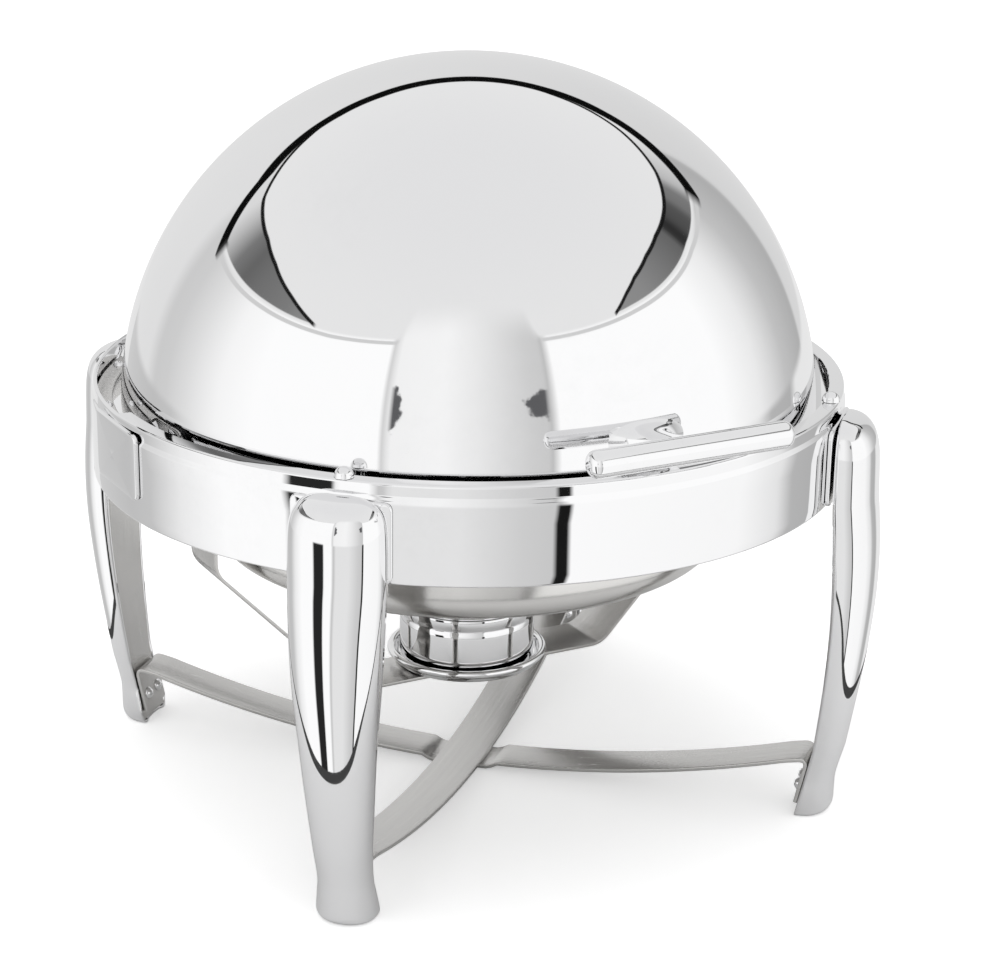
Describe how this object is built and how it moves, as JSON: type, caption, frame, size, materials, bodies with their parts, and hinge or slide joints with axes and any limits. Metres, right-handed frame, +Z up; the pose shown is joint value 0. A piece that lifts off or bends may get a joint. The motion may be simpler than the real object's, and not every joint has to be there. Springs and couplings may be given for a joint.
{
  "type": "roll top chafer",
  "caption": "Round roll top chafer: a mirror-polished half-sphere lid rolls back inside a steel ring on bowed legs, over nested pans and a fuel burner.",
  "frame": {"origin": "on the table, in the middle of the whole object's length and width", "axes": "+Z up, -Y towards the handle at the front, +X to the right of someone facing the back from the front"},
  "size_m": [0.4482, 0.4747, 0.439],
  "materials": {
    "polished_steel": "mirror-polished stainless steel",
    "satin_steel": "satin brushed stainless steel",
    "nylon": "black nylon bush"
  },
  "bodies": {
    "base": {"band": "polished_steel", "burner_dish": "satin_steel", "burner_screw_left": "polished_steel", "burner_screw_right": "polished_steel", "burner_strap": "satin_steel", "cross_strap_lower": "satin_steel", "cross_strap_upper": "satin_steel", "flange_stud_left": "polished_steel", "flange_stud_right": "polished_steel", "foot_screw_front_left_left": "polished_steel", "foot_screw_front_left_right": "polished_steel", "foot_screw_front_right_left": "polished_steel", "foot_screw_front_right_right": "polished_steel", "foot_screw_rear_left_left": "polished_steel", "foot_screw_rear_left_right": "polished_steel", "foot_screw_rear_right_left": "polished_steel", "foot_screw_rear_right_right": "polished_steel", "hinge_base_left": "satin_steel", "hinge_base_right": "satin_steel", "hinge_cover_left": "polished_steel", "hinge_cover_right": "polished_steel", "hinge_plate_left": "satin_steel", "hinge_plate_right": "satin_steel", "hinge_screw_left_front": "polished_steel", "hinge_screw_left_rear": "polished_steel", "hinge_screw_right_front": "polished_steel", "hinge_screw_right_rear": "polished_steel", "leg_back_front_left": "satin_steel", "leg_back_front_right": "satin_steel", "leg_back_rear_left": "satin_steel", "leg_back_rear_right": "satin_steel", "leg_bolt_front_left": "polished_steel", "leg_bolt_front_right": "polished_steel", "leg_bolt_rear_left": "polished_steel", "leg_bolt_rear_right": "polished_steel", "leg_front_left": "polished_steel", "leg_front_right": "polished_steel", "leg_pad_front_left": "polished_steel", "leg_pad_front_right": "polished_steel", "leg_pad_rear_left": "polished_steel", "leg_pad_rear_right": "polished_steel", "leg_rear_left": "polished_steel", "leg_rear_right": "polished_steel", "lid_rest_left": "satin_steel", "lid_rest_right": "satin_steel", "pan_frame": "satin_steel", "pivot_nut_left": "polished_steel", "pivot_nut_right": "polished_steel", "pivot_pin_left": "polished_steel", "pivot_pin_right": "polished_steel"},
    "lid": {"dome": "polished_steel", "handle_bar": "polished_steel", "handle_stem": "polished_steel", "handle_screw": "polished_steel", "pivot_bush_left": "nylon", "pivot_bush_right": "nylon"},
    "water_pan": {"water_pan": "satin_steel"},
    "food_pan": {"food_pan": "satin_steel"},
    "fuel_cup": {"fuel_cup": "polished_steel"},
    "fuel_cup_cover": {"fuel_cup_cover": "polished_steel"}
  },
  "joints": [
    {"name": "lid_roll", "type": "hinge", "parent": "base", "child": "lid", "pos_m": [0, 0.01566, 0.234], "axis": [-1, 0, 0], "range_deg": [0, 155]},
    {"name": "water_pan_lift", "type": "slide", "parent": "base", "child": "water_pan", "axis": [0, 0, 1], "range_m": [0, 0.04]},
    {"name": "food_pan_lift", "type": "slide", "parent": "water_pan", "child": "food_pan", "axis": [0, 0, 1], "range_m": [0, 0.04]},
    {"name": "fuel_cup_lift", "type": "slide", "parent": "base", "child": "fuel_cup", "axis": [0, 0, 1], "range_m": [0, 0.02]},
    {"name": "fuel_cup_cover_lift", "type": "slide", "parent": "fuel_cup", "child": "fuel_cup_cover", "axis": [0, 0, 1], "range_m": [0, 0.015]}
  ]
}
